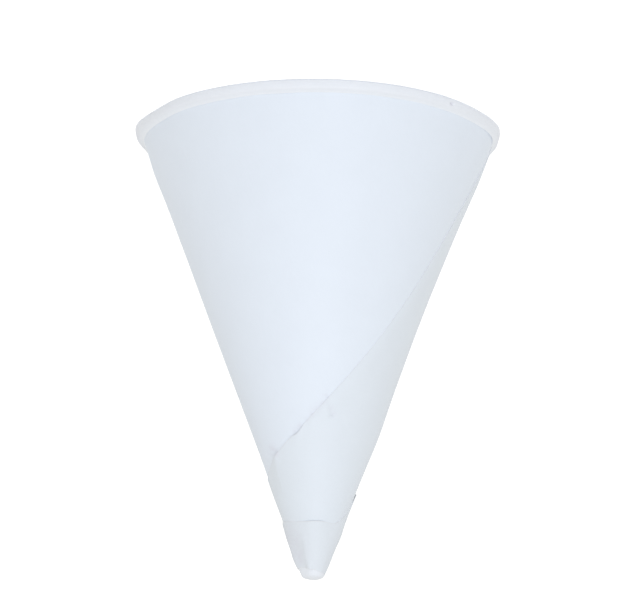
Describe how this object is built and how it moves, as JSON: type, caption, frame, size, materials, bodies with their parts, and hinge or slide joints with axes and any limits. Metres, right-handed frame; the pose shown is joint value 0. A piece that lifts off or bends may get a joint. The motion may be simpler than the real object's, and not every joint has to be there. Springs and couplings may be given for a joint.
{
  "type": "cone paper cup",
  "caption": "Pointed paper cup wound from one blank of white paper, with a rolled rim, a slanting glued seam and a blunt folded point. It rests mouth down.",
  "frame": {"origin": "middle of the rolled rim's flat face, on the plane the cup rests on", "axes": "+Z along the cup's axis from the mouth to the point, -Y towards the side the picture shows, where the slanting seam rises from the rim at -X to the point's side at +X"},
  "size_m": [0.072, 0.072, 0.0909],
  "materials": {
    "cup_paper": "matt, smooth uncoated white paper"
  },
  "bodies": {
    "root": {"cone_cup": "cup_paper"}
  },
  "joints": []
}
